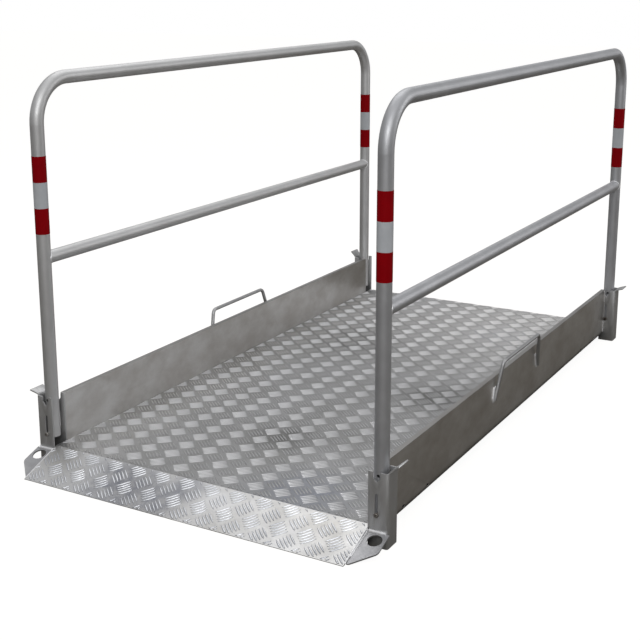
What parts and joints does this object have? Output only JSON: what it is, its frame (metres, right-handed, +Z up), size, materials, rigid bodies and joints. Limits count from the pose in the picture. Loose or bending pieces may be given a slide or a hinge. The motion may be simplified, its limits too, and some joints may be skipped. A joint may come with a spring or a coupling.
{
  "type": "aluminium ditch bridge",
  "caption": "Aluminium footbridge for crossing a ditch, with side panels, end ramps, anchor ears and tubular railings that fold inward over the deck.",
  "frame": {"origin": "centre of the footprint, on the ground", "axes": "+Y along the bridge in the walking direction, +X across it to the right side, +Z up"},
  "size_m": [1.2156, 2.324, 1.151],
  "materials": {
    "tread_plate": "five-bar tread plate, bright and worn",
    "ramp_plate": "five-bar tread plate, bright",
    "panel_aluminium": "mill finish, dull, faintly drawn along its length",
    "bracket_aluminium": "folded plate, dull",
    "ear_aluminium": "bright cut plate",
    "rod_aluminium": "drawn round rod",
    "beam_aluminium": "mill finish",
    "rail_aluminium": "satin tube, brighter at its bends",
    "bolt_steel": "zinc plated",
    "band_red": "dark red reflective foil",
    "band_white": "white reflective foil"
  },
  "bodies": {
    "bridge": {"deck_plate": "tread_plate", "front_ramp": "ramp_plate", "rear_ramp": "ramp_plate", "floor_beam_1": "beam_aluminium", "floor_beam_2": "beam_aluminium", "floor_beam_3": "beam_aluminium", "floor_beam_4": "beam_aluminium", "floor_beam_5": "beam_aluminium", "left_side_panel": "panel_aluminium", "left_handle": "rod_aluminium", "left_front_bracket": "bracket_aluminium", "left_front_ear": "ear_aluminium", "left_front_bolt": "bolt_steel", "left_rear_bracket": "bracket_aluminium", "left_rear_bolt": "bolt_steel", "right_side_panel": "panel_aluminium", "right_handle": "rod_aluminium", "right_front_bracket": "bracket_aluminium", "right_front_ear": "ear_aluminium", "right_rear_bracket": "bracket_aluminium"},
    "left_railing_frame": {"left_railing": "rail_aluminium", "left_mid_rail": "rail_aluminium", "left_front_band_top": "band_red", "left_front_band_middle": "band_white", "left_front_band_bottom": "band_red", "left_rear_band_top": "band_red", "left_rear_band_middle": "band_white", "left_rear_band_bottom": "band_red"},
    "right_pivot_bolts": {"right_front_bolt": "bolt_steel", "right_rear_bolt": "bolt_steel"},
    "right_railing_frame": {"right_railing": "rail_aluminium", "right_mid_rail": "rail_aluminium", "right_front_band_top": "band_red", "right_front_band_middle": "band_white", "right_front_band_bottom": "band_red", "right_rear_band_top": "band_red", "right_rear_band_middle": "band_white", "right_rear_band_bottom": "band_red"}
  },
  "joints": [
    {"name": "left_fold", "type": "hinge", "parent": "bridge", "child": "left_railing_frame", "pos_m": [-0.547, 0, 0.089], "axis": [0, 1, 0], "range_deg": [0, 90]},
    {"name": "right_lift", "type": "slide", "parent": "bridge", "child": "right_pivot_bolts", "axis": [0, 0, 1], "range_m": [0, 0.051]},
    {"name": "right_fold", "type": "hinge", "parent": "right_pivot_bolts", "child": "right_railing_frame", "pos_m": [0.547, 0, 0.089], "axis": [0, -1, 0], "range_deg": [0, 90]}
  ],
  "couplings": [
    {"joint": "right_lift", "follows": "right_fold", "m_per_rad": 0.0318}
  ]
}
